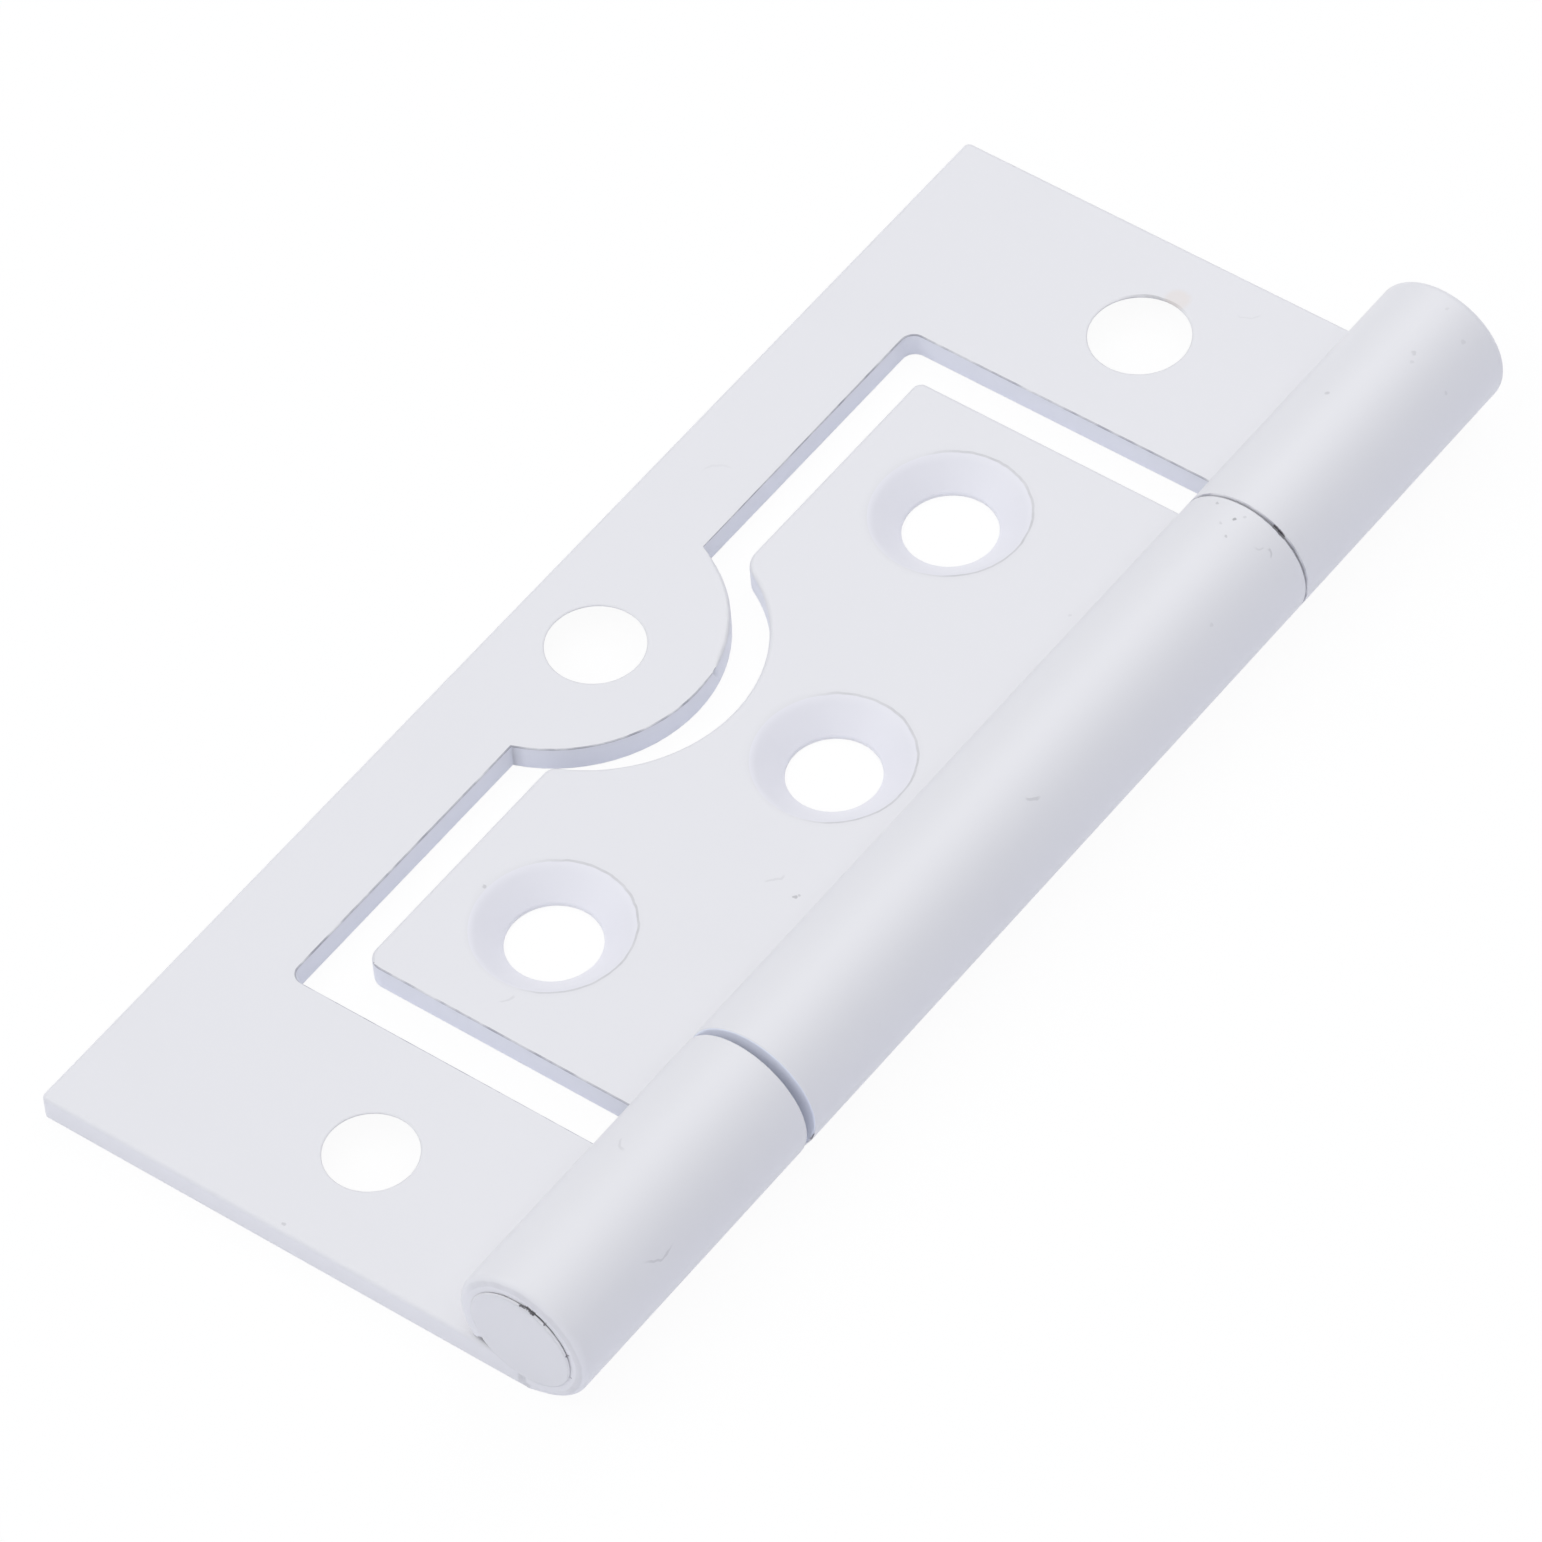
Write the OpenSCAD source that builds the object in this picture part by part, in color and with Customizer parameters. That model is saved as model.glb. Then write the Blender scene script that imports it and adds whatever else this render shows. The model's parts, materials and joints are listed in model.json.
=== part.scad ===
// Flush hinge: an outer leaf with a cut-out, an inner leaf that nests in it, and a riveted pin.
// The hinge lies on its back, nested flat: X runs along the pin, +Z is the screw-head side of the inner leaf.

/* [Sheet and pin] */
// Thickness of the steel sheet that both leaves are pressed from
sheet_t = 1.5; // [1.2:0.05:1.8]
// Diameter of the pin
pin_d = 4.3; // [3.6:0.1:5]
// Running gap all round between the pin and the knuckles
pin_clearance = 0.05; // [0.02:0.01:0.08]
// Diameter of the peened head at each end of the pin
pin_head_d = 5.8; // [5.4:0.1:6.4]
// How far each pin head stands out from the knuckle
pin_head_h = 0.2; // [0.15:0.05:0.6]
// Size of the bevel at the mouth of each end knuckle, which the peened pin fills
mouth_bevel = 0.4; // [0.2:0.05:0.5]
// Rounding of the outer ends of the barrel
barrel_end_r = 0.45; // [0.1:0.05:0.8]
// Gap left where the rolled sheet comes back down to the leaf
seam_gap = 0.1; // [0.05:0.05:0.4]

/* [Outer leaf] */
// Length of the outer leaf, along the pin
leaf_l = 75; // [68:0.5:100]
// Distance from the pin's axis to the outer edge of the outer leaf
leaf_w = 29; // [27:0.1:34]
// Radius of the two free corners of the outer leaf
leaf_corner_r = 0.35; // [0.2:0.05:3]
// Width of the leaf between its near end and the cut-out
near_land = 12.45; // [11:0.05:14]
// Width of the leaf between the cut-out and its far end
far_land = 12.25; // [11:0.05:14]
// Width of the strip left beside the cut-out, along the outer edge
strip_w = 5.35; // [4:0.05:7]
// Radius of the two inside corners of the cut-out
cutout_corner_r = 0.7; // [0.3:0.1:3]
// Length of the near knuckle
near_knuckle_l = 17.5; // [15:0.1:19]
// Length of the far knuckle, up to the far end of the leaf
far_knuckle_l = 16.75; // [15:0.05:19]
// How far the far knuckle stands out past the far end of the leaf
far_knuckle_out = 0.45; // [0:0.05:0.8]
// How far the full width of a knuckle runs out from the pin's axis before the cut-out begins
knuckle_root = 2.9; // [2:0.1:3.2]
// How far the centre of the round lobe lies past the middle of the leaf, towards the far end
lobe_shift = 0.15; // [-3:0.05:3]
// Distance from the outer edge to the centre of the lobe
lobe_inset = 2.5; // [1.5:0.05:4]
// Radius of the lobe
lobe_r = 8.3; // [7:0.1:9.5]

/* [Outer screw holes] */
// Diameter of the screw holes in the outer leaf
outer_hole_d = 5; // [4:0.1:5.5]
// Distance from each end of the leaf to its end hole
end_hole_inset = 6.15; // [5.5:0.05:7]
// Distance from the outer edge to the end holes
end_hole_edge = 15.2; // [12:0.1:18]
// How far the middle hole lies past the middle of the leaf, towards the far end
mid_hole_shift = -0.2; // [-2:0.1:2]
// Distance from the outer edge to the middle hole
mid_hole_edge = 4.9; // [4.5:0.1:7]

/* [Inner leaf] */
// Gap between the inner leaf and each end of the cut-out
end_gap = 2.6; // [1.5:0.1:4]
// Gap between the inner leaf and the long side of the cut-out
side_gap = 2.3; // [1:0.05:4]
// Gap between the lobe and the hollow that hugs it
lobe_gap = 2.2; // [1:0.1:3.5]
// Radius of the hollow
hollow_r = 8.5; // [7:0.1:9.5]
// Radius of the free corner of the inner leaf at the near end
near_corner_r = 1; // [0.3:0.1:3]
// Radius of the free corner of the inner leaf at the far end
far_corner_r = 0.5; // [0.3:0.1:3]
// Radius of the shoulder of the hollow towards the near end
near_shoulder_r = 0.7; // [0.3:0.1:4]
// Radius of the shoulder of the hollow towards the far end
far_shoulder_r = 1.5; // [0.3:0.1:4]
// Distance from the pin's axis to the lower edge of the parts that reach past the end knuckles
overhang_root = 4.8; // [4.6:0.1:6]
// Running gap at each end of the middle knuckle
knuckle_gap = 0.26; // [0.15:0.01:0.6]
// How far the inner leaf lies shifted towards the far end
end_shift = 0.16; // [0:0.01:0.2]

/* [Inner screw holes] */
// Diameter of the screw holes in the inner leaf
inner_hole_d = 4.8; // [4:0.1:5.5]
// Distance from the near end of the inner leaf to its first hole
first_hole_inset = 6.8; // [5.5:0.05:8]
// Distance from the far end of the inner leaf to its last hole
last_hole_inset = 6.25; // [5.5:0.05:8]
// Distance from the outer edge of the inner leaf to its first and last holes
side_hole_edge = 6.35; // [5:0.05:8]
// How far the middle hole lies outwards of halfway from the barrel to the hollow
centre_hole_shift = 0.4; // [-1:0.1:1]

/* [Countersinks] */
// Diameter of each countersink at the face of the sheet
sink_d = 8.1; // [7:0.1:9]
// Straight length of hole left below each countersink
hole_land = 0.25; // [0.1:0.05:0.6]

/* [Hidden] */
$fn = 96;
paint_white = [0.93, 0.93, 0.94];
through = 0.5;
// Overlap that lets the rounding of a shoulder run into the hollow without a gap
blend = 0.005;
bore_r = pin_d / 2 + pin_clearance;
barrel_r = bore_r + sheet_t;
axis_z = barrel_r;
// The part's origin is the middle of its footprint, so the pin's axis lies this far across
axis_y = (barrel_r - leaf_w) / 2;
seam_angle = asin((sheet_t + seam_gap - axis_z) / barrel_r);
cutout_far = leaf_l - far_land;
cutout_side = leaf_w - strip_w;
far_knuckle_start = leaf_l - far_knuckle_l;
far_knuckle_end = leaf_l + far_knuckle_out;
lobe_out = leaf_w - lobe_inset;
inner_near = near_land + end_gap + end_shift;
inner_far = cutout_far - end_gap + end_shift;
inner_side = cutout_side - side_gap;
middle_knuckle_start = near_knuckle_l + knuckle_gap + end_shift;
middle_knuckle_end = far_knuckle_start - knuckle_gap + end_shift;
lobe_pos = leaf_l / 2 + lobe_shift;
hollow_pos = lobe_pos + end_shift;
hollow_bottom = lobe_out - lobe_r - lobe_gap;
hollow_out = hollow_bottom + hollow_r;
hollow_rise = hollow_out - inner_side;
first_hole_pos = inner_near + first_hole_inset;
last_hole_pos = inner_far - last_hole_inset;
side_hole_out = inner_side - side_hole_edge;
centre_hole_out = (barrel_r + hollow_bottom) / 2 + centre_hole_shift;

// Moves a shape drawn from the near end of the pin's foot into the part's own frame
module placed() {
    translate([-far_knuckle_end / 2, axis_y, 0]) children();
}

// The sliver between a square corner at the origin and the circle that rounds it
module corner_sliver(r) {
    difference() {
        square(r);
        translate([r, r]) circle(r);
    }
}

// A rectangle from low to high whose near and far corners at the outer side are rounded
module rounded_sheet(low, high, near_r, far_r) {
    difference() {
        translate(low) square(high - low);
        translate([low[0], high[1]]) mirror([0, 1]) corner_sliver(near_r);
        translate(high) rotate(180) corner_sliver(far_r);
    }
}

// Sheet rolled round the pin from x0 to x1, with the end faces rounded where asked
module knuckle(x0, x1, round_start, round_end) {
    translate([0, 0, axis_z]) rotate([0, 90, 0]) difference() {
        rotate_extrude() knuckle_profile(x0, x1, round_start, round_end);
        rotate([0, -90, 0]) rotate([90, 0, 90]) translate([0, 0, x0 - through])
            linear_extrude(x1 - x0 + 2 * through) seam_sector();
    }
}

// Half section of the rolled sheet: its wall runs from the bore to the outside of the barrel
module knuckle_profile(x0, x1, round_start, round_end) {
    difference() {
        translate([bore_r, x0]) square([sheet_t, x1 - x0]);
        if (round_start) {
            translate([barrel_r, x0]) mirror([1, 0]) corner_sliver(barrel_end_r);
            translate([bore_r, x0]) rotate(45) square(mouth_bevel * sqrt(2), center = true);
        }
        if (round_end) {
            translate([barrel_r, x1]) rotate(180) corner_sliver(barrel_end_r);
            translate([bore_r, x1]) rotate(45) square(mouth_bevel * sqrt(2), center = true);
        }
    }
}

// The part of the ring that the flat of the leaf takes the place of, seen along the pin
module seam_sector() {
    reach = 2 * barrel_r;
    polygon([
        [0, 0],
        [reach * cos(seam_angle), reach * sin(seam_angle)],
        [reach, -reach],
        [0, -reach]
    ]);
}

// A screw hole with its countersink opening upwards from a sheet that lies on z = 0
module screw_hole(d) {
    sink_depth = sheet_t - hole_land;
    slope = (sink_d - d) / 2 / sink_depth;
    rotate_extrude() polygon([
        [0, -through],
        [d / 2, -through],
        [d / 2, hole_land],
        [sink_d / 2 + slope * through, sheet_t + through],
        [0, sheet_t + through]
    ]);
}

// The same hole with its countersink opening downwards
module screw_hole_from_below(d) {
    translate([0, 0, sheet_t]) mirror([0, 0, 1]) screw_hole(d);
}

// Outline of the flat of the outer leaf, with its cut-out, lobe and knuckle roots
module outer_outline() {
    difference() {
        rounded_sheet([0, 0], [leaf_l, leaf_w], leaf_corner_r, leaf_corner_r);
        polygon([[0, 0], [barrel_end_r, 0], [0, barrel_end_r]]);
        difference() {
            rounded_sheet(
                [near_land, -through], [cutout_far, cutout_side], cutout_corner_r, cutout_corner_r
            );
            translate([lobe_pos, lobe_out]) circle(lobe_r);
            square([near_knuckle_l, knuckle_root]);
            translate([far_knuckle_start, 0]) square([far_knuckle_l, knuckle_root]);
        }
    }
}

// Outline of the flat of the inner leaf, with the hollow that hugs the lobe
module inner_outline() {
    union() {
        difference() {
            rounded_sheet(
                [inner_near, overhang_root], [inner_far, inner_side], near_corner_r, far_corner_r
            );
            translate([hollow_pos, hollow_out]) circle(hollow_r);
            translate([hollow_pos, 0]) mirror([1, 0]) shoulder_corner(near_shoulder_r);
            translate([hollow_pos, 0]) shoulder_corner(far_shoulder_r);
        }
        translate([hollow_pos, 0]) mirror([1, 0])
            translate(shoulder_centre(near_shoulder_r)) circle(near_shoulder_r);
        translate([hollow_pos, 0])
            translate(shoulder_centre(far_shoulder_r)) circle(far_shoulder_r);
        translate([middle_knuckle_start, 0])
            square([middle_knuckle_end - middle_knuckle_start, overhang_root + through]);
    }
}

// Centre of the circle that rounds a shoulder, measured from the middle of the hollow
function shoulder_centre(r) = [
    sqrt(pow(hollow_r + r - blend, 2) - pow(hollow_rise + r, 2)),
    inner_side - r
];

// The sharp tip of a shoulder, which the rounding circle takes the place of
module shoulder_corner(r) {
    centre = shoulder_centre(r);
    reach = hollow_r / (hollow_r + r);
    polygon([
        centre,
        [centre[0] * reach, hollow_out + (centre[1] - hollow_out) * reach],
        [centre[0] * reach, inner_side + through],
        [centre[0], inner_side + through]
    ]);
}

module outer_leaf() {
    color(paint_white) placed() union() {
        difference() {
            linear_extrude(sheet_t) outer_outline();
            for (x = [end_hole_inset, leaf_l - end_hole_inset])
                translate([x, leaf_w - end_hole_edge, 0]) screw_hole_from_below(outer_hole_d);
            translate([leaf_l / 2 + mid_hole_shift, leaf_w - mid_hole_edge, 0])
                screw_hole_from_below(outer_hole_d);
        }
        knuckle(0, near_knuckle_l, true, false);
        knuckle(far_knuckle_start, far_knuckle_end, false, true);
    }
}

module inner_leaf() {
    color(paint_white) placed() union() {
        difference() {
            linear_extrude(sheet_t) inner_outline();
            for (x = [first_hole_pos, last_hole_pos])
                translate([x, side_hole_out, 0]) screw_hole(inner_hole_d);
            translate([(first_hole_pos + last_hole_pos) / 2, centre_hole_out, 0])
                screw_hole(inner_hole_d);
        }
        knuckle(middle_knuckle_start, middle_knuckle_end, false, false);
    }
}

// The pin fills the bevelled mouths of the end knuckles and spreads into a flat head at each end
module hinge_pin() {
    pin_r = pin_d / 2;
    head_r = pin_head_d / 2;
    edge = pin_head_h / 2;
    color(paint_white) placed() translate([0, 0, axis_z]) rotate([0, 90, 0]) rotate_extrude() polygon([
        [0, -pin_head_h],
        [head_r - edge, -pin_head_h],
        [head_r, -edge],
        [head_r, 0],
        [pin_r + mouth_bevel, 0],
        [pin_r, mouth_bevel],
        [pin_r, far_knuckle_end - mouth_bevel],
        [pin_r + mouth_bevel, far_knuckle_end],
        [head_r, far_knuckle_end],
        [head_r, far_knuckle_end + edge],
        [head_r - edge, far_knuckle_end + pin_head_h],
        [0, far_knuckle_end + pin_head_h]
    ]);
}

outer_leaf();
inner_leaf();
hinge_pin();
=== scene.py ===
import json
import math

import bpy
from mathutils import Matrix, Vector

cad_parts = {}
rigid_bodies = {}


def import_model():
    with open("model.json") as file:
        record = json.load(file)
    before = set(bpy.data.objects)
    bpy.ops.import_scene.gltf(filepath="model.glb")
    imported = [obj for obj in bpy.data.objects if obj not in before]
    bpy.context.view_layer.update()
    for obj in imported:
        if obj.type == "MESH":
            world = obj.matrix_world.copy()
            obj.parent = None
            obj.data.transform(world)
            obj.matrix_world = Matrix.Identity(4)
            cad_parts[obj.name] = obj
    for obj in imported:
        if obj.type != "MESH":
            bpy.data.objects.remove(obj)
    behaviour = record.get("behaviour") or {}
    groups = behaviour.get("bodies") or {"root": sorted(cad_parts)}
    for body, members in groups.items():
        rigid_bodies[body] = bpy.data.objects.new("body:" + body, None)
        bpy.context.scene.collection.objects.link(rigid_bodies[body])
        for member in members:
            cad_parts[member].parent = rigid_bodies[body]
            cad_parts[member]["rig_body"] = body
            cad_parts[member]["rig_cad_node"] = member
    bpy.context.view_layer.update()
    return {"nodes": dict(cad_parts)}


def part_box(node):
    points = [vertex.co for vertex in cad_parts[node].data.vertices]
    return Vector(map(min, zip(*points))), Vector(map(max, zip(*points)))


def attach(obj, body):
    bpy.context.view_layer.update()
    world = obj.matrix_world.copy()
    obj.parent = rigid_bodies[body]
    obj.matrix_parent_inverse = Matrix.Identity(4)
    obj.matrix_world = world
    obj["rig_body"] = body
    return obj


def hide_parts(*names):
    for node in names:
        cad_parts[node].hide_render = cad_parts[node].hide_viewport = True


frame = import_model()
mm = 0.001

leafShape = {
    "sheet": 1.5,                   # millimetres, as all sizes here and below
    "widest": 0.3,                  # rounding of an edge whose share is 1
    "segments": 4,
    "sharpFrom": 50,                # degrees; flatter edges belong to a curved face
    "flatWithin": 0.4,              # degrees; flatter edges only divide one face
    "weld": 0.001,
    "pressed": 0.8,                 # shares from here on: where the press pulled the sheet over
    "burr": 0.24,                   # the crisp side of a cut
    "back": 0.5,
    "knuckle": 0.4,                 # ends of the knuckles
    "head": 0.3,                    # heads of the pin
}
knuckleShape = {"across": -12.65, "up": 3.7, "radius": 3.7, "seamTop": 1.7}
headShape = {
    "face": 37.725,                 # end of the barrel, along the pin
    "radius": 2.9,
    "sunk": 0.497,                  # share of the head's height that the paint hides, and how far it tilts
    "mouth": 2.6,                   # radius of the bevelled mouth that the head covers
    "crack": 0.32,                  # widest opening of the mouth, of which the head leaves a crack
    "crackTowards": 115,            # degrees from the leaf's side, turning up
}
frameHoles = {
    "at": ((-31.58, 1.16, 2.35), (-0.33, 11.56, 2.53), (31.14, 1.28, 2.62)),  # across, out and radius
    "open": 4.05,                   # radius of the countersink
    "around": 0.3,                  # what the cutter reaches past it
    "land": 0.08,                   # straight wall at the narrow end
    "rim": 0.3,                     # softening of the countersink's rim
    "mouth": 0.12,                  # and of the plain mouth on the other side
    "above": 0.6,                   # height of the cutter past the sheet
    "steps": 72,
}
doorHoles = dict(frameHoles, land=0.25, rim=0.45,
                 at=((-15.76, 2.47, 2.43), (0.27, -2.42, 2.4), (16.24, 2.2, 2.43)))
seamShape = {"high": 1.6, "shut": 1.503}                    # height of the roll's end, before and after
farGapShape = {"at": 20.475, "reach": 0.3, "edge": 0.25}    # edge is a share, as in leafShape
nearGapShape = {"at": -20.225, "from": -9.9, "to": -15.5, "least": -0.06, "most": 0.24}
nearEndShape = {"from": -19.9, "to": -19.7}                 # where the middle knuckle's end shows
footShape = {"from": -37.1, "end": -37.7, "reach": 2.0, "high": 0.9, "falloff": 1.5}
lobeShape = {"at": (-0.075, 13.85), "radius": 8.3, "flankFrom": 2.0}
cutShape = {"from": -9.5, "below": 1.38, "inFromEnds": 5}   # where the cut walls lie
burrShadeColumn, cutShadeColumn, gapLitColumn, coneLitColumn = 1, 2, 3, 4   # material columns of a leaf


def pickOnly(piece):
    bpy.ops.object.select_all(action="DESELECT")
    bpy.context.view_layer.objects.active = piece
    piece.select_set(True)


def applyAll(piece):
    pickOnly(piece)
    for modifier in list(piece.modifiers):
        bpy.ops.object.modifier_apply(modifier=modifier.name)


# Copies a CAD node into a clean mesh of large flat faces, with its screw holes filled
def copyOfNode(nodeName, pieceName, holes=None):
    piece = frame["nodes"][nodeName].copy()
    piece.data = piece.data.copy()
    piece.name = pieceName
    piece.data.name = pieceName
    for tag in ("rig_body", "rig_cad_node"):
        del piece[tag]
    piece.parent = None
    bpy.context.scene.collection.objects.link(piece)
    pickOnly(piece)
    mesh = piece.data
    bpy.ops.object.mode_set(mode="EDIT")
    bpy.ops.mesh.select_mode(type="FACE")
    bpy.ops.mesh.select_all(action="SELECT")
    bpy.ops.mesh.remove_doubles(threshold=leafShape["weld"] * mm)
    bpy.ops.mesh.select_all(action="DESELECT")
    bpy.ops.object.mode_set(mode="OBJECT")
    if holes:
        for face in mesh.polygons:
            corners = [mesh.vertices[i].co / mm for i in face.vertices]
            face.select = any(
                all(math.hypot(c.x - x, c.y - y) < holes["open"] + holes["around"] for c in corners)
                for x, y, narrow in holes["at"])
        bpy.ops.object.mode_set(mode="EDIT")
        bpy.ops.mesh.delete(type="FACE")
        bpy.ops.mesh.select_all(action="SELECT")
        bpy.ops.mesh.fill_holes(sides=0)
        bpy.ops.object.mode_set(mode="OBJECT")
    bpy.ops.object.mode_set(mode="EDIT")
    bpy.ops.mesh.select_all(action="SELECT")
    bpy.ops.mesh.dissolve_limited(angle_limit=math.radians(leafShape["flatWithin"]))
    bpy.ops.object.mode_set(mode="OBJECT")
    return piece


# Rounds the sharp edges for which shareOf gives a share, from an edge's middle and direction
def softenEdges(piece, shareOf, column=-1):
    pickOnly(piece)
    bpy.ops.object.mode_set(mode="EDIT")
    bpy.ops.mesh.select_mode(type="EDGE")
    bpy.ops.mesh.select_all(action="DESELECT")
    bpy.ops.mesh.edges_select_sharp(sharpness=math.radians(leafShape["sharpFrom"]))
    bpy.ops.object.mode_set(mode="OBJECT")
    mesh = piece.data
    weights = mesh.attributes.new("bevel_weight_edge", "FLOAT", "EDGE")
    for edge in mesh.edges:
        if edge.select:
            a, b = (mesh.vertices[i].co / mm for i in edge.vertices)
            weights.data[edge.index].value = shareOf((a + b) / 2, (b - a).normalized())
    rounding = piece.modifiers.new("rounding", "BEVEL")
    rounding.limit_method = "WEIGHT"
    rounding.width = leafShape["widest"] * mm
    rounding.segments = leafShape["segments"]
    rounding.miter_outer = "MITER_SHARP"
    rounding.use_clamp_overlap = False
    rounding.material = column
    applyAll(piece)
    mesh.attributes.remove(mesh.attributes["bevel_weight_edge"])


# Cuts the screw holes again with a spun cutter: a soft rim, a cone, a straight land and a mouth
def cutHoles(piece, holes, openAt, inwards):
    sheet, wide, deep = leafShape["sheet"], holes["open"], leafShape["sheet"] - holes["land"]
    for x, y, narrow in holes["at"]:
        slope = Vector((narrow - wide, deep)).normalized()
        rim = (Vector((wide + holes["rim"], 0)), Vector((wide, 0)), Vector((wide, 0)) + slope * holes["rim"])
        turn = (Vector((narrow, deep)) - slope * 0.1, Vector((narrow, deep)), Vector((narrow, deep + 0.1)))
        edge = narrow + holes["mouth"]
        mouth = (Vector((narrow, sheet - holes["mouth"])), Vector((narrow, sheet)), Vector((edge, sheet)))
        reach, above = wide + holes["rim"] + holes["around"], holes["above"]
        path = [(0, -above), (reach, -above), (reach, -0.02)]
        for bend, parts in ((rim, 6), (turn, 3), (mouth, 4)):
            for i in range(parts + 1):
                t = i / parts
                point = bend[0] * (1 - t) ** 2 + bend[1] * 2 * t * (1 - t) + bend[2] * t ** 2
                if point[1] > path[-1][1] + 1e-3 and point[1] < sheet - 1e-4:
                    path.append(tuple(point))
        path += [(edge + 0.15, sheet + 0.02), (edge + 0.15, sheet + above), (0, sheet + above)]
        mesh = bpy.data.meshes.new("cutter")
        mesh.from_pydata([((x + r) * mm, y * mm, (openAt + inwards * d) * mm) for r, d in path],
                         [(i, i + 1) for i in range(len(path) - 1)], [])
        cutter = bpy.data.objects.new("cutter", mesh)
        bpy.context.scene.collection.objects.link(cutter)
        pickOnly(cutter)
        bpy.ops.object.mode_set(mode="EDIT")
        bpy.ops.mesh.select_all(action="SELECT")
        bpy.ops.mesh.spin(steps=holes["steps"], angle=math.tau, center=(x * mm, y * mm, 0), axis=(0, 0, 1))
        bpy.ops.mesh.select_all(action="SELECT")
        bpy.ops.mesh.remove_doubles(threshold=leafShape["weld"] / 2 * mm)
        bpy.ops.mesh.normals_make_consistent(inside=False)
        bpy.ops.object.mode_set(mode="OBJECT")
        cut = piece.modifiers.new("hole", "BOOLEAN")
        cut.operation = "DIFFERENCE"
        cut.solver = "MANIFOLD"
        cut.object = cutter
        applyAll(piece)
        bpy.data.objects.remove(cutter)


def smoothFaces(piece):
    pickOnly(piece)
    bpy.ops.object.shade_smooth_by_angle(angle=math.radians(leafShape["sharpFrom"]))
    even = piece.modifiers.new("even", "WEIGHTED_NORMAL")
    even.keep_sharp = True
    even.weight = 80
    applyAll(piece)


# Lets the roll's end down onto the leaf, as the paint closes that seam
def closeSeam(piece):
    for vertex in piece.data.vertices:
        if abs(vertex.co.z / mm - seamShape["high"]) < 0.02 and vertex.co.y / mm > knuckleShape["across"]:
            vertex.co.z = seamShape["shut"] * mm


# Opens the mouths of the end knuckles a little past the pin's head, on one side, as a crack in the paint
def openCrack(piece):
    for vertex in piece.data.vertices:
        x, y, z = vertex.co / mm
        out, up = y - knuckleShape["across"], z - knuckleShape["up"]
        onMouth = abs(math.hypot(out, up) - headShape["mouth"]) < 0.03
        if onMouth and abs(abs(x) - headShape["face"]) < 0.02:
            turn = math.atan2(up, out)
            facing = max(0.0, math.cos(turn - math.radians(headShape["crackTowards"])))
            broken = 0.97 + 0.12 * math.sin(7 * turn) + 0.06 * math.sin(19 * turn + 1)
            radius = headShape["mouth"] + headShape["crack"] * facing ** 0.35 * broken
            vertex.co.y = (knuckleShape["across"] + radius * math.cos(turn)) * mm
            vertex.co.z = (knuckleShape["up"] + radius * math.sin(turn)) * mm


# Tilts the heads, so that they stand out on the crack's side and sink into the barrel's end on the other
def tiltHeads(piece):
    face, sunk = headShape["face"] * mm, headShape["sunk"]
    towards = math.radians(headShape["crackTowards"])
    for vertex in piece.data.vertices:
        past = abs(vertex.co.x) - face
        if past > 0:
            out, up = vertex.co.y / mm - knuckleShape["across"], vertex.co.z / mm - knuckleShape["up"]
            lean = (out * math.cos(towards) + up * math.sin(towards)) / headShape["radius"]
            vertex.co.x = math.copysign(face + past * (1 - sunk + sunk * lean), vertex.co.x)


# Carries the barrel's rounded near end over into the leaf's straight one, along its foot
def blendFoot(piece):
    for vertex in piece.data.vertices:
        x, y, z = vertex.co / mm
        past = (knuckleShape["across"] - y) / footShape["reach"]
        if footShape["end"] < x < footShape["from"] and -0.05 < past < 1 and z < footShape["high"]:
            share = min(1.0, 1 - past) ** footShape["falloff"]
            vertex.co.x = (x + share * (footShape["end"] - x)) * mm


# Keeps the rounded edges inside the leaf's ends and above its back
def trimEnds(piece):
    face = headShape["face"] * mm
    for vertex in piece.data.vertices:
        vertex.co.x = max(-face, min(face, vertex.co.x))
        vertex.co.z = max(0.0, vertex.co.z)


# Lets the inner end of the near knuckle waver, as the gap there is wider low down than on top
def skewKnuckle(piece):
    for vertex in piece.data.vertices:
        x, y, z = vertex.co / mm
        if abs(x - nearGapShape["at"]) < 0.01 and z > knuckleShape["seamTop"]:
            low = (nearGapShape["from"] - y) / (nearGapShape["from"] - nearGapShape["to"])
            vertex.co.x -= (nearGapShape["least"] + nearGapShape["most"] * max(0.0, min(1.0, low)) ** 0.7) * mm


def onKnuckle(middle, along):
    fromPin = math.hypot(middle.y - knuckleShape["across"], middle.z - knuckleShape["up"])
    return fromPin < knuckleShape["radius"] + 0.1 and abs(along.x) < 0.5 and middle.z > knuckleShape["seamTop"]


def atTop(middle):
    return middle.z > leafShape["sheet"] - 0.05


def framePressed(middle):
    outside = middle.x < frameLow.x + 0.5 or middle.y > frameHigh.y - 0.5 or middle.x > frameHigh.x - 1.5
    offLobe = middle.xy - Vector(lobeShape["at"])
    flank = offLobe.length < lobeShape["radius"] + 0.5 and offLobe.x > lobeShape["flankFrom"]
    return outside or (flank and middle.y < frameHigh.y - 6)


def frameEdge(middle, along):
    if onKnuckle(middle, along):
        return 0.0 if atFarGap(middle, along) else leafShape["knuckle"]
    if atTop(middle):
        return leafShape["pressed"] if framePressed(middle) else 0.0
    return leafShape["back"] if middle.z < 0.05 else 0.0


def atFarGap(middle, along):
    return onKnuckle(middle, along) and abs(middle.x - farGapShape["at"]) < farGapShape["reach"]


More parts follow.
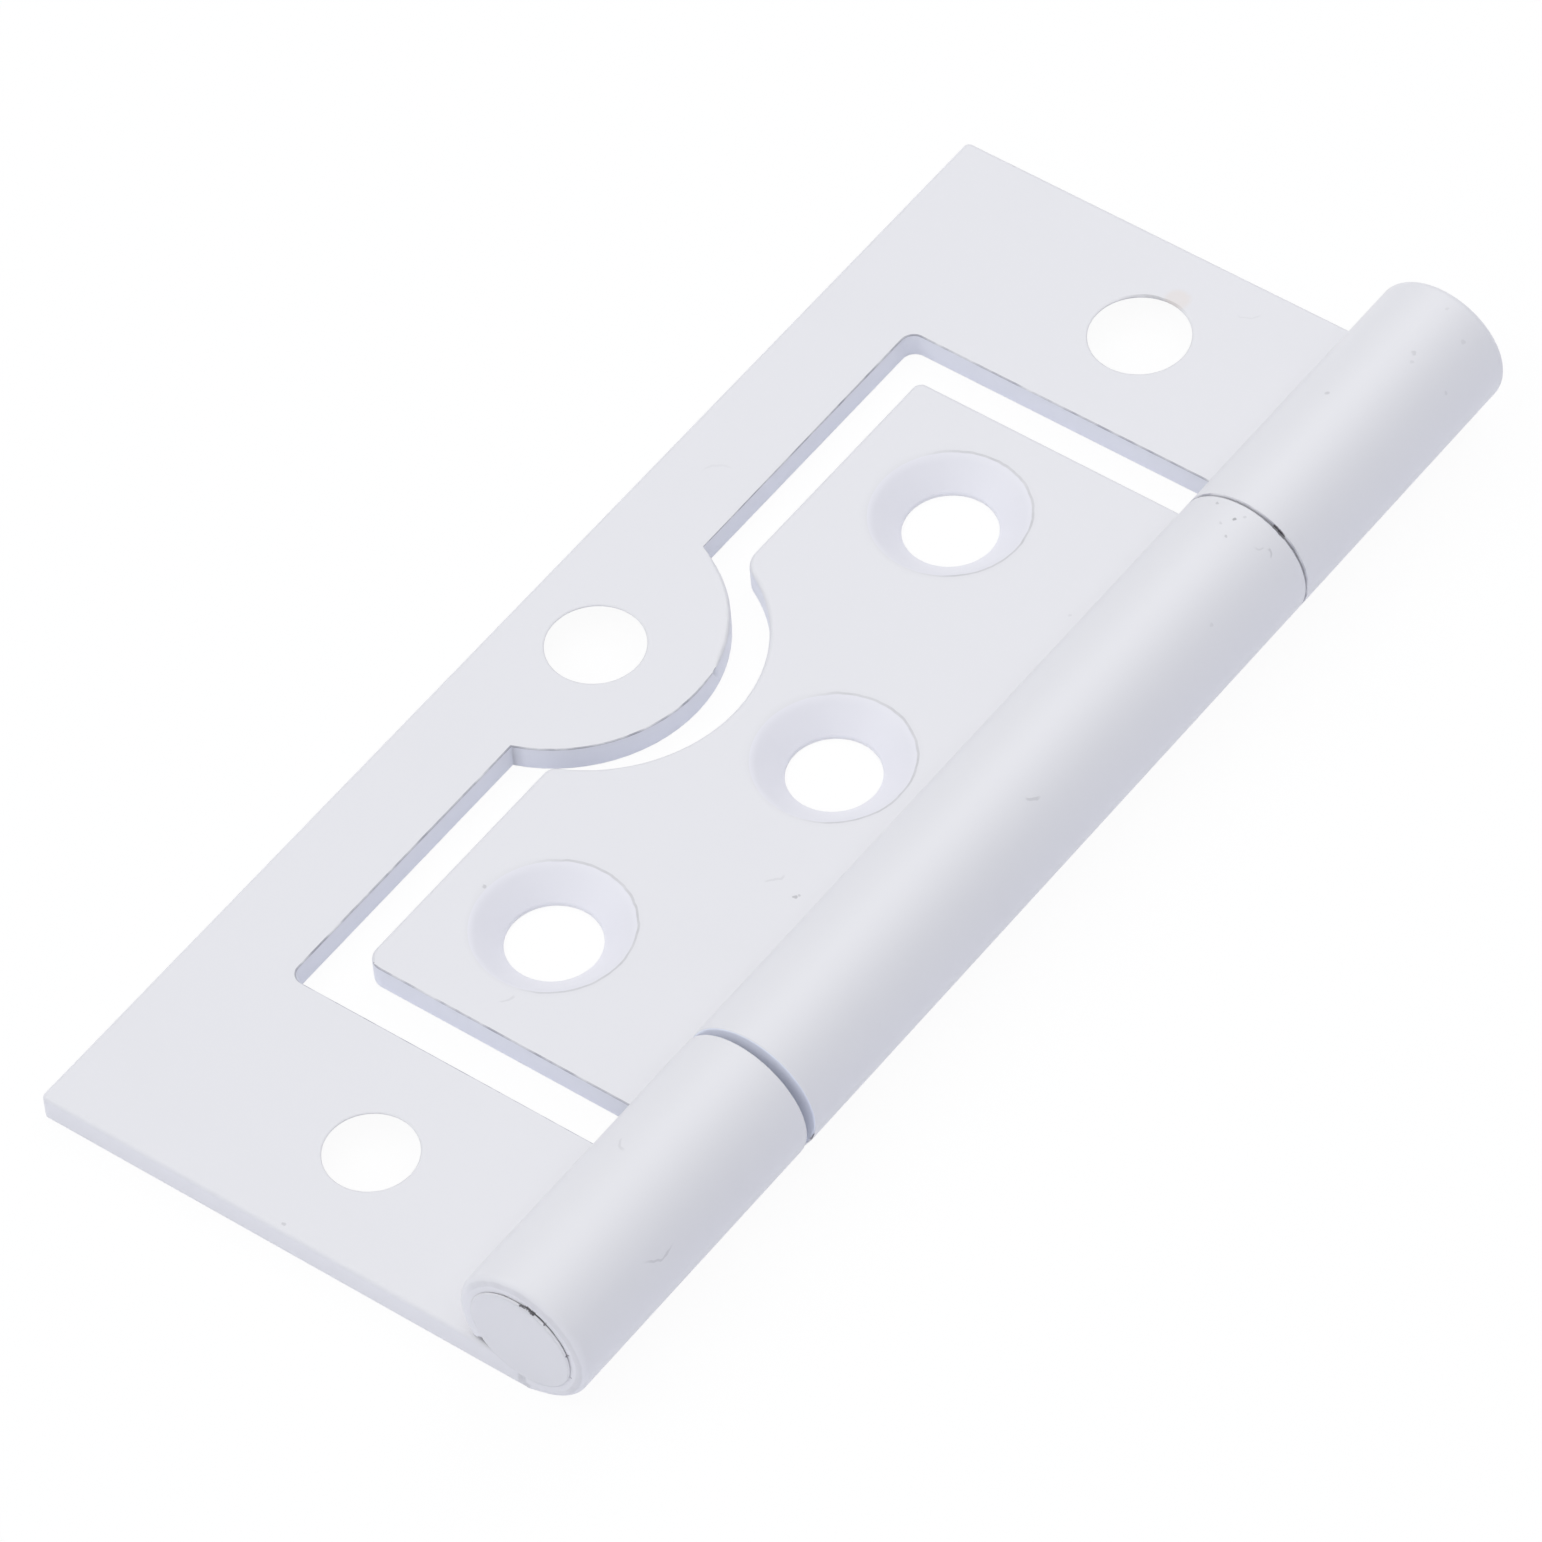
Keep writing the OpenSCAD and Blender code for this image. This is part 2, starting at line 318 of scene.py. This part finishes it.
def frameBurr(middle, along):
    if atFarGap(middle, along):
        return farGapShape["edge"]
    onCut = atTop(middle) and not framePressed(middle) and not onKnuckle(middle, along)
    return leafShape["burr"] if onCut else 0.0


def doorPressed(middle, along):
    return not (middle.x < doorLow.x + 0.5 and abs(along.x) < 0.5)


def doorEdge(middle, along):
    if onKnuckle(middle, along):
        return 0.0 if atFarGap(middle, along) else leafShape["knuckle"]
    if atTop(middle):
        return leafShape["pressed"] if doorPressed(middle, along) else 0.0
    return leafShape["back"] if middle.z < 0.05 else 0.0


def doorBurr(middle, along):
    if atFarGap(middle, along):
        return farGapShape["edge"]
    onCut = atTop(middle) and not doorPressed(middle, along) and not onKnuckle(middle, along)
    return leafShape["burr"] if onCut else 0.0


print("leaves and pin")
frameLow, frameHigh = (corner / mm for corner in map(Vector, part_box("outer_leaf")))
doorLow = Vector(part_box("inner_leaf")[0]) / mm
outerPiece = copyOfNode("outer_leaf", "frameLeaf", frameHoles)
innerPiece = copyOfNode("inner_leaf", "doorLeaf", doorHoles)
pinPiece = copyOfNode("hinge_pin", "pin")
for piece in (outerPiece, innerPiece, pinPiece):
    piece.data.materials.clear()
    piece.data.materials.append(None)
    piece.data.materials.append(None)
closeSeam(outerPiece)
closeSeam(innerPiece)
openCrack(outerPiece)
skewKnuckle(outerPiece)
softenEdges(outerPiece, frameEdge)
softenEdges(outerPiece, frameBurr, burrShadeColumn)
blendFoot(outerPiece)
trimEnds(outerPiece)
softenEdges(innerPiece, doorEdge)
softenEdges(innerPiece, doorBurr, burrShadeColumn)
softenEdges(pinPiece, lambda middle, along: leafShape["head"])
tiltHeads(pinPiece)
cutHoles(outerPiece, frameHoles, 0.0, 1)
cutHoles(innerPiece, doorHoles, leafShape["sheet"], -1)
for piece, body, node in ((outerPiece, "frame_side", "outer_leaf"), (innerPiece, "door_side", "inner_leaf"),
                          (pinPiece, "frame_side", "hinge_pin")):
    smoothFaces(piece)
    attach(piece, body)
    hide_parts(node)

print("paint")
paintLook = {
    "colour": (0.787, 0.783, 0.803, 1.0),
    # Painted light: a lighter, bluish paint for the countersink cones, lifting their shade
    "coneLitColour": (0.82, 0.815, 0.86, 1.0),
    # Painted shade: a bluish, slightly lighter paint for the shaded walls of the cut-outs
    "cutShadeColour": (0.80, 0.81, 0.865, 1.0),
    # Painted light: a much lighter, bluish paint for the middle knuckle's end in the near gap, lifting the
    # shade there
    "gapLitColour": (0.84, 0.87, 0.97, 1.0),
    # Painted shade: a darker paint for the pin
    "pinShadeColour": (0.745, 0.741, 0.757, 1.0),
    "roughness": 0.42,
    "peelSize": 0.9,                # millimetres
    "peelDepth": 0.004,
    "patchSize": 9,                 # unevenness of tone
    "burrShadeStretch": 1.4,                # length of a stretch of painted shade along a burr
    "hairWidth": 0.08,
    # Painted shade along the burrs of the cut edges and the edges of the far gap
    "burrShadeColour": (0.40, 0.40, 0.45, 1.0),
    # The dark of the flecks and hairs, also used for painted shade in the cracks, the far gap and along the
    # countersinks' rims
    "fleckAndShadeColour": (0.07, 0.06, 0.075, 1.0),
    "stainColour": (0.78, 0.66, 0.56, 1.0),
}
# Each fleck has a place, a radius and a darkness
frameFlecks = (
    ((24.63, -6.15, 1.5), 0.16, 0.3), ((24.8, -7.12, 1.5), 0.14, 0.25), ((24.62, -1.8, 1.4), 0.14, 0.25),
    ((28.77, -11.87, 7.32), 0.14, 0.2), ((36.66, -13.58, 7.28), 0.14, 0.1), ((33.4, -13.84, 7.2), 0.16, 0.15),
    ((32.91, -14.06, 7.12), 0.12, 0.1), ((35.86, -15.06, 6.51), 0.16, 0.1), ((33.26, -15.81, 5.62), 0.12, 0.1),
    ((-37.3, 1.93, 1.5), 0.13, 0.2), ((-7.23, 8.92, 1.3), 0.12, 0.2), ((-7.17, 7.8, 1.3), 0.2, 0.3),
)
doorFlecks = (
    ((19.43, -12.87, 7.39), 0.13, 0.5), ((18.34, -13.17, 7.36), 0.12, 0.25),
    ((19.96, -11.49, 7.21), 0.12, 0.25), ((18.85, -12.46, 7.39), 0.12, 0.15),
    ((19.86, -13.22, 7.36), 0.12, 0.15), ((14.08, -6.66, 1.5), 0.12, 0.1),
    ((14.05, -15.32, 6.26), 0.13, 0.1), ((-7.85, -6.16, 1.5), 0.15, 0.35),
    ((-7.65, -6.28, 1.5), 0.1, 0.25), ((-15.63, 6.69, 1.5), 0.15, 0.25),
)


# Dark flecks side by side on a circle round the pin: painted shade in the crack round a pin head and in the far
# gap
# The degrees turn from the leaf's side, upwards
def crackShadeFlecks(along, radius, degrees, size, darkness):
    flecks = []
    for degree in degrees:
        turn = math.radians(degree)
        out, up = radius * math.cos(turn), radius * math.sin(turn)
        flecks.append(((along, knuckleShape["across"] + out, knuckleShape["up"] + up), size, darkness))
    return flecks


# Painted shade in the far gap between the knuckles
farGapShadeFlecks = crackShadeFlecks(20.47, 3.7, (120.5, 122, 123.5, 125, 126.5, 128, 129.5, 131), 0.14, 0.97)
# Painted shade in the crack round the near pin head
headCrackShadeFlecks = crackShadeFlecks(-37.8, 2.96, (96, 98.5, 101, 103.5, 106, 108.5, 111), 0.13, 0.97)
headCrackShadeFlecks += crackShadeFlecks(-37.8, 2.97, (125, 164, 196), 0.11, 0.9)
# Each hair has the middle of its arc, its arc's centre, its half length and a darkness
frameHairs = (
    ((-31.3, -16.03, 5.2), (-31.0, -15.2, 6.2), 1.1, 0.17),
    ((-28.1, -11.42, 7.19), (-27.2, -12.2, 7.0), 0.6, 0.1),
    ((35.13, -2.65, 1.5), (36.0, -2.0, 1.5), 0.7, 0.06),
    ((12.4, 13.7, 1.5), (11.5, 13.0, 1.5), 0.9, 0.05),
)
doorHairs = (
    ((-0.02, -14.83, 6.69), (0.6, -14.2, 7.0), 0.5, 0.18),
    ((-7.53, -4.73, 1.5), (-7.0, -4.0, 1.5), 0.6, 0.1),
    ((-20.61, 1.41, 1.5), (-20.2, 2.2, 1.5), 0.6, 0.1),
    ((19.0, -14.7, 6.8), (19.3, -14.2, 7.0), 0.35, 0.12),
    ((19.3, -15.1, 6.5), (18.9, -14.9, 6.6), 0.3, 0.2),
)


def newGroup(name, ins, outs):
    group = bpy.data.node_groups.new(name, "ShaderNodeTree")
    for label, kind in ins:
        group.interface.new_socket(name=label, in_out="INPUT", socket_type=kind)
    for label, kind in outs:
        group.interface.new_socket(name=label, in_out="OUTPUT", socket_type=kind)
    return group, group.nodes.new("NodeGroupInput"), group.nodes.new("NodeGroupOutput")


def mathNode(tree, operation, first, second):
    node = tree.nodes.new("ShaderNodeMath")
    node.operation = operation
    for i, value in enumerate((first, second)):
        if isinstance(value, (int, float)):
            node.inputs[i].default_value = value
        else:
            tree.links.new(value, node.inputs[i])
    return node.outputs[0]


def noiseNode(tree, vector, size, detail):
    node = tree.nodes.new("ShaderNodeTexNoise")
    node.inputs["Scale"].default_value = 1 / (size * mm)
    node.inputs["Detail"].default_value = detail
    tree.links.new(vector, node.inputs["Vector"])
    return node


# Moves a vector about by a noise of a size and reach in millimetres
def wobble(tree, vector, size, reach):
    noise = noiseNode(tree, vector, size, 1)
    centred = tree.nodes.new("ShaderNodeVectorMath")
    centred.operation = "SUBTRACT"
    centred.inputs[1].default_value = (0.5, 0.5, 0.5)
    tree.links.new(noise.outputs["Color"], centred.inputs[0])
    scaled = tree.nodes.new("ShaderNodeVectorMath")
    scaled.operation = "SCALE"
    scaled.inputs["Scale"].default_value = 2 * reach * mm
    tree.links.new(centred.outputs[0], scaled.inputs[0])
    moved = tree.nodes.new("ShaderNodeVectorMath")
    tree.links.new(vector, moved.inputs[0])
    tree.links.new(scaled.outputs[0], moved.inputs[1])
    return moved.outputs[0]


def distance(tree, first, second):
    node = tree.nodes.new("ShaderNodeVectorMath")
    node.operation = "DISTANCE"
    tree.links.new(first, node.inputs[0])
    tree.links.new(second, node.inputs[1])
    return node.outputs["Value"]


# 1 below a limit, falling to 0 at the limit, with a soft half
def within(tree, value, limit):
    node = tree.nodes.new("ShaderNodeMapRange")
    node.interpolation_type = "SMOOTHSTEP"
    node.inputs["To Min"].default_value = 1
    node.inputs["To Max"].default_value = 0
    tree.links.new(value, node.inputs["Value"])
    tree.links.new(mathNode(tree, "MULTIPLY", limit, 0.5), node.inputs["From Min"])
    tree.links.new(limit, node.inputs["From Max"])
    return node.outputs[0]


def makeFleck():
    group, given, result = newGroup("fleck", (("Vector", "NodeSocketVector"), ("Place", "NodeSocketVector"),
                                              ("Radius", "NodeSocketFloat"), ("Darkness", "NodeSocketFloat")),
                                    (("Mask", "NodeSocketFloat"),))
    away = distance(group, wobble(group, given.outputs["Vector"], 0.25, 0.1), given.outputs["Place"])
    mask = mathNode(group, "MULTIPLY", within(group, away, given.outputs["Radius"]), given.outputs["Darkness"])
    group.links.new(mask, result.inputs["Mask"])
    return group


def makeHair():
    group, given, result = newGroup("hair", (("Vector", "NodeSocketVector"), ("Place", "NodeSocketVector"),
                                             ("Centre", "NodeSocketVector"), ("Reach", "NodeSocketFloat"),
                                             ("Darkness", "NodeSocketFloat")),
                                    (("Mask", "NodeSocketFloat"),))
    moved = wobble(group, given.outputs["Vector"], 0.6, 0.2)
    arc = distance(group, given.outputs["Place"], given.outputs["Centre"])
    fromArc = mathNode(group, "SUBTRACT", distance(group, moved, given.outputs["Centre"]), arc)
    width = mathNode(group, "ADD", paintLook["hairWidth"] * mm, 0)
    thin = within(group, mathNode(group, "ABSOLUTE", fromArc, 0), width)
    near = within(group, distance(group, moved, given.outputs["Place"]), given.outputs["Reach"])
    mask = mathNode(group, "MULTIPLY", mathNode(group, "MULTIPLY", thin, near), given.outputs["Darkness"])
    group.links.new(mask, result.inputs["Mask"])
    return group


# Orange peel and a faint unevenness of tone, the same all over the hinge
def makeCoat():
    group, given, result = newGroup("powderCoat", (("Vector", "NodeSocketVector"),),
                                    (("Height", "NodeSocketFloat"), ("Tone", "NodeSocketFloat")))
    peel = noiseNode(group, given.outputs["Vector"], paintLook["peelSize"], 2)
    grain = noiseNode(group, given.outputs["Vector"], paintLook["peelSize"] / 6, 1)
    fine = mathNode(group, "MULTIPLY", grain.outputs["Fac"], 0.15)
    height = mathNode(group, "ADD", peel.outputs["Fac"], fine)
    group.links.new(height, result.inputs["Height"])
    patch = noiseNode(group, given.outputs["Vector"], paintLook["patchSize"], 2)
    tone = mathNode(group, "ADD", 0.985, mathNode(group, "MULTIPLY", patch.outputs["Fac"], 0.03))
    group.links.new(tone, result.inputs["Tone"])
    return group


# A thin broken darker ring round a hole or a pin head, darkest on one side; round the door's countersinks it is
# painted shade along the rims
def makeRing():
    group, given, result = newGroup("rimRing", (("Vector", "NodeSocketVector"), ("Place", "NodeSocketVector"),
                                                ("Radius", "NodeSocketFloat"), ("Width", "NodeSocketFloat"),
                                                ("Side", "NodeSocketVector"), ("Narrowness", "NodeSocketFloat"),
                                                ("Darkness", "NodeSocketFloat")),
                                    (("Mask", "NodeSocketFloat"),))
    moved = wobble(group, given.outputs["Vector"], 0.7, 0.07)
    off = mathNode(group, "SUBTRACT", distance(group, moved, given.outputs["Place"]), given.outputs["Radius"])
    thin = within(group, mathNode(group, "ABSOLUTE", off, 0), given.outputs["Width"])
    apart = group.nodes.new("ShaderNodeVectorMath")
    apart.operation = "SUBTRACT"
    group.links.new(given.outputs["Vector"], apart.inputs[0])
    group.links.new(given.outputs["Place"], apart.inputs[1])
    unit = group.nodes.new("ShaderNodeVectorMath")
    unit.operation = "NORMALIZE"
    group.links.new(apart.outputs[0], unit.inputs[0])
    along = group.nodes.new("ShaderNodeVectorMath")
    along.operation = "DOT_PRODUCT"
    group.links.new(unit.outputs[0], along.inputs[0])
    group.links.new(given.outputs["Side"], along.inputs[1])
    faces = group.nodes.new("ShaderNodeMapRange")
    group.links.new(given.outputs["Narrowness"], faces.inputs["From Min"])
    group.links.new(mathNode(group, "ADD", given.outputs["Narrowness"], 0.45), faces.inputs["From Max"])
    group.links.new(along.outputs["Value"], faces.inputs["Value"])
    patch = noiseNode(group, given.outputs["Vector"], 0.8, 2)
    broken = mathNode(group, "ADD", 0.25, patch.outputs["Fac"])
    mask = mathNode(group, "MULTIPLY", mathNode(group, "MULTIPLY", thin, faces.outputs[0]),
                    mathNode(group, "MULTIPLY", broken, given.outputs["Darkness"]))
    group.links.new(mask, result.inputs["Mask"])
    return group


def placeGroup(tree, group, vector, values):
    node = tree.nodes.new("ShaderNodeGroup")
    node.node_tree = group
    tree.links.new(vector, node.inputs["Vector"])
    for label, value in values.items():
        node.inputs[label].default_value = value
    return node


def mixColour(tree, factor, first, second):
    node = tree.nodes.new("ShaderNodeMix")
    node.data_type = "RGBA"
    tree.links.new(factor, node.inputs[0])
    for i, value in ((6, first), (7, second)):
        if isinstance(value, tuple):
            node.inputs[i].default_value = value
        else:
            tree.links.new(value, node.inputs[i])
    return node.outputs[2]


def inMetres(point):
    return tuple(c * mm for c in point)


def fleckValues(fleck):
    place, radius, darkness = fleck
    return {"Place": inMetres(place), "Radius": radius * mm, "Darkness": darkness}


def ringValues(ring):
    place, radius, width, side, narrowness, darkness = ring
    return {"Place": inMetres(place), "Radius": radius * mm, "Width": width * mm, "Side": side,
            "Narrowness": narrowness, "Darkness": darkness}


def paintMaterial(name, flecks=(), hairs=(), rings=(), stain=None, colour=paintLook["colour"]):
    material = bpy.data.materials.new(name)
    material.use_nodes = True
    tree = material.node_tree
    shader = tree.nodes["Principled BSDF"]
    shader.inputs["Roughness"].default_value = paintLook["roughness"]
    where = tree.nodes.new("ShaderNodeTexCoord").outputs["Object"]
    coat = placeGroup(tree, coatGroup, where, {})
    bump = tree.nodes.new("ShaderNodeBump")
    bump.inputs["Distance"].default_value = paintLook["peelDepth"] * mm
    tree.links.new(coat.outputs["Height"], bump.inputs["Height"])
    tree.links.new(bump.outputs["Normal"], shader.inputs["Normal"])
    darker = mathNode(tree, "SUBTRACT", 1.0, coat.outputs["Tone"])
    colour = mixColour(tree, darker, colour, (0.0, 0.0, 0.0, 1.0))
    masks = []
    for fleck in flecks:
        masks.append(placeGroup(tree, fleckGroup, where, fleckValues(fleck)).outputs["Mask"])
    for place, centre, reach, darkness in hairs:
        values = {"Place": inMetres(place), "Centre": inMetres(centre),
                  "Reach": reach * mm, "Darkness": darkness}
        masks.append(placeGroup(tree, hairGroup, where, values).outputs["Mask"])
    for ring in rings:
        masks.append(placeGroup(tree, ringGroup, where, ringValues(ring)).outputs["Mask"])
    if masks:
        every = masks[0]
        for mask in masks[1:]:
            every = mathNode(tree, "MAXIMUM", every, mask)
        colour = mixColour(tree, every, colour, paintLook["fleckAndShadeColour"])
    if stain:
        stained = placeGroup(tree, fleckGroup, where, fleckValues(stain)).outputs["Mask"]
        colour = mixColour(tree, stained, colour, paintLook["stainColour"])
    tree.links.new(colour, shader.inputs["Base Color"])
    return material


# The same paint, darkened in broken stretches along the burr of a cut edge and at the far gap: painted shade
def burrShadeMaterial():
    material = paintMaterial("burrShadePaint", farGapShadeFlecks)
    tree = material.node_tree
    shader = tree.nodes["Principled BSDF"]
    where = next(n for n in tree.nodes if n.type == "TEX_COORD").outputs["Object"]
    patch = noiseNode(tree, where, paintLook["burrShadeStretch"], 3)
    strength = tree.nodes.new("ShaderNodeMapRange")
    strength.inputs["From Min"].default_value = 0.38
    strength.inputs["From Max"].default_value = 0.62
    strength.inputs["To Min"].default_value = 0.15
    tree.links.new(patch.outputs["Fac"], strength.inputs["Value"])
    mix = shader.inputs["Base Color"].links[0].from_node
    clean = mix.inputs[6].links[0].from_socket
    tree.links.new(mixColour(tree, strength.outputs[0], clean, paintLook["burrShadeColour"]), mix.inputs[6])
    return material


def inHole(middle, holes):
    return any(math.hypot(middle.x - x, middle.y - y) < holes["open"] for x, y, narrow in holes["at"])


def upright(face):
    return abs(face.normal.z) < 0.3


coatGroup = makeCoat()
fleckGroup = makeFleck()
hairGroup = makeHair()
ringGroup = makeRing()
# A ring has its centre, radius, width, darkest side, how narrow that side is, and a darkness
# Painted shade along the rims of the door leaf's countersinks, on the same side of each
rimShadeRings = [((x, y, leafShape["sheet"]), doorHoles["open"] + 0.08, 0.08, (0.55, -0.83, 0.0), -0.35, 0.25)
            for x, y, narrow in doorHoles["at"]]
holeStain = ((34.15, 1.1, leafShape["sheet"]), 0.85, 0.3)
mouthRings = [((-37.8, knuckleShape["across"], knuckleShape["up"]), 3.35, 0.2, (0.0, -0.62, 0.78), -0.3, 0.16),
              ((31.14, 1.28, leafShape["sheet"]), 2.7, 0.09, (0.96, 0.29, 0.0), 0.75, 0.75)]
framePaint = paintMaterial("framePaint", list(frameFlecks) + farGapShadeFlecks + headCrackShadeFlecks,
                           frameHairs, mouthRings, holeStain)
doorPaint = paintMaterial("doorPaint", list(doorFlecks) + farGapShadeFlecks, doorHairs, rimShadeRings)
# The pin takes the darker paint: painted shade on its heads
pinShadePaint = paintMaterial("pinShadePaint", headCrackShadeFlecks, colour=paintLook["pinShadeColour"])
burrShadePaint = burrShadeMaterial()
cutShadePaint = paintMaterial("cutShadePaint", frameFlecks, colour=paintLook["cutShadeColour"])
gapLitPaint = paintMaterial("gapLitPaint", colour=paintLook["gapLitColour"])
coneLitPaint = paintMaterial("coneLitPaint", rings=rimShadeRings, colour=paintLook["coneLitColour"])
for piece in (outerPiece, innerPiece):
    for paint in (cutShadePaint, gapLitPaint, coneLitPaint):
        piece.data.materials.append(paint)
# Upright walls of the frame leaf's cut-out take the bluish wall paint: painted shade
for face in outerPiece.data.polygons:
    middle = face.center / mm
    alongIt = frameLow.x + cutShape["inFromEnds"] < middle.x < frameHigh.x - cutShape["inFromEnds"]
    inside = alongIt and cutShape["from"] < middle.y < frameHigh.y - 1
    if inside and upright(face) and middle.z < cutShape["below"] and not inHole(middle, frameHoles):
        face.material_index = cutShadeColumn
for face in innerPiece.data.polygons:
    middle = face.center / mm
    if inHole(middle, doorHoles):
        # The countersink cones take the lighter paint: painted light
        if 0.3 < face.normal.z < 0.98:
            face.material_index = coneLitColumn
    # The middle knuckle's end in the near gap takes the lighter paint: painted light
    elif nearEndShape["from"] < middle.x < nearEndShape["to"] and face.normal.x < -0.8:
        face.material_index = gapLitColumn
    # Upright low walls of the door leaf take the bluish wall paint: painted shade
    elif middle.y > cutShape["from"] and upright(face) and middle.z < cutShape["below"]:
        face.material_index = cutShadeColumn
for piece, paint in ((outerPiece, framePaint), (innerPiece, doorPaint), (pinPiece, pinShadePaint)):
    piece.data.materials[0] = paint
    piece.data.materials[1] = burrShadePaint

print("floor, light and camera")
studio = {
    "floorHalf": 1.5,               # metres
    "floorAt": -0.05,               # millimetres, just clear of the leaves' backs
    "floorColour": (0.90, 0.91, 1.0, 1.0),
    "floorGlow": 0.94,
    "skyColour": (0.90, 0.93, 1.0, 1.0),
    "skyStrength": 0.43,
}
softBoxes = (                       # name, place, size, power and colour
    ("overhead", (0.0, 0.1, 0.9), 1.8, 5.7, (1.0, 1.0, 0.99)),
    ("back", (-0.5, 0.6, 0.7), 0.8, 2.0, (1.0, 1.0, 1.0)),
    ("left", (-0.9, -0.2, 0.4), 0.8, 1.3, (0.98, 0.98, 0.98)),
    ("front", (0.1, -0.9, 0.4), 0.8, 0.75, (0.90, 0.90, 1.0)),
    ("right", (0.8, 0.2, 0.8), 0.8, 2.5, (1.0, 0.99, 1.0)),
)
cameraView = {
    "at": (-269.909 * mm, -228.742 * mm, 410.356 * mm),
    "right": (0.59537, -0.80134, -0.05820),
    "down": (-0.63207, -0.42243, -0.64964),
    "ahead": (0.49600, 0.42356, -0.75801),
    "sensor": 36.0,
    "lens": 260.50,
    "shift": (0.00411, 0.00123),
}

bpy.ops.mesh.primitive_plane_add(size=2 * studio["floorHalf"], location=(0, 0, studio["floorAt"] * mm))
floor = bpy.context.object
floor.name = "floor"
floorMaterial = bpy.data.materials.new("paleFloor")
floorMaterial.use_nodes = True
nodes = floorMaterial.node_tree.nodes
links = floorMaterial.node_tree.links
seen = nodes.new("ShaderNodeLightPath")
eitherRay = nodes.new("ShaderNodeMath")
eitherRay.operation = "MAXIMUM"
anyRay = nodes.new("ShaderNodeMath")
anyRay.operation = "MAXIMUM"
links.new(seen.outputs["Is Camera Ray"], eitherRay.inputs[0])
links.new(seen.outputs["Is Glossy Ray"], eitherRay.inputs[1])
links.new(eitherRay.outputs[0], anyRay.inputs[0])
links.new(seen.outputs["Is Transmission Ray"], anyRay.inputs[1])
floorColour = nodes.new("ShaderNodeMix")
floorColour.data_type = "RGBA"
floorColour.inputs[6].default_value = studio["floorColour"]
floorColour.inputs[7].default_value = (1, 1, 1, 1)
links.new(anyRay.outputs[0], floorColour.inputs[0])
floorShader = nodes["Principled BSDF"]
floorShader.inputs["Roughness"].default_value = 0.9
links.new(floorColour.outputs[2], floorShader.inputs["Base Color"])
glow = nodes.new("ShaderNodeEmission")
share = nodes.new("ShaderNodeMath")
share.operation = "MULTIPLY"
share.inputs[1].default_value = studio["floorGlow"]
links.new(anyRay.outputs[0], share.inputs[0])
blend = nodes.new("ShaderNodeMixShader")
links.new(share.outputs[0], blend.inputs["Fac"])
links.new(floorShader.outputs[0], blend.inputs[1])
links.new(glow.outputs[0], blend.inputs[2])
links.new(blend.outputs[0], nodes["Material Output"].inputs["Surface"])
floor.data.materials.append(floorMaterial)

world = bpy.data.worlds.new("studio")
bpy.context.scene.world = world
world.use_nodes = True
nodes = world.node_tree.nodes
links = world.node_tree.links
sky = nodes["Background"]
sky.inputs["Strength"].default_value = studio["skyStrength"]
sky.inputs["Color"].default_value = studio["skyColour"]
white = nodes.new("ShaderNodeBackground")
white.inputs["Color"].default_value = (1, 1, 1, 1)
seen = nodes.new("ShaderNodeLightPath")
blend = nodes.new("ShaderNodeMixShader")
links.new(seen.outputs["Is Camera Ray"], blend.inputs["Fac"])
links.new(sky.outputs[0], blend.inputs[1])
links.new(white.outputs[0], blend.inputs[2])
links.new(blend.outputs[0], nodes["World Output"].inputs["Surface"])

for name, place, size, power, colour in softBoxes:
    bpy.ops.object.light_add(type="AREA", location=place)
    lamp = bpy.context.object
    lamp.name = name
    lamp.data.energy = power
    lamp.data.size = size
    lamp.data.color = colour
    lamp.rotation_euler = (-Vector(place)).to_track_quat("-Z", "Y").to_euler()

cameraData = bpy.data.cameras.new("photoCamera")
camera = bpy.data.objects.new("photoCamera", cameraData)
bpy.context.scene.collection.objects.link(camera)
right, down, ahead = (Vector(cameraView[k]) for k in ("right", "down", "ahead"))
turn = Matrix((right, -down, -ahead)).transposed()
camera.matrix_world = Matrix.Translation(cameraView["at"]) @ turn.to_4x4()
cameraData.sensor_width = cameraView["sensor"]
cameraData.lens = cameraView["lens"]
cameraData.shift_x, cameraData.shift_y = cameraView["shift"]
cameraData.clip_start = 0.01
bpy.context.scene.camera = camera
bpy.context.scene.view_settings.view_transform = "Standard"
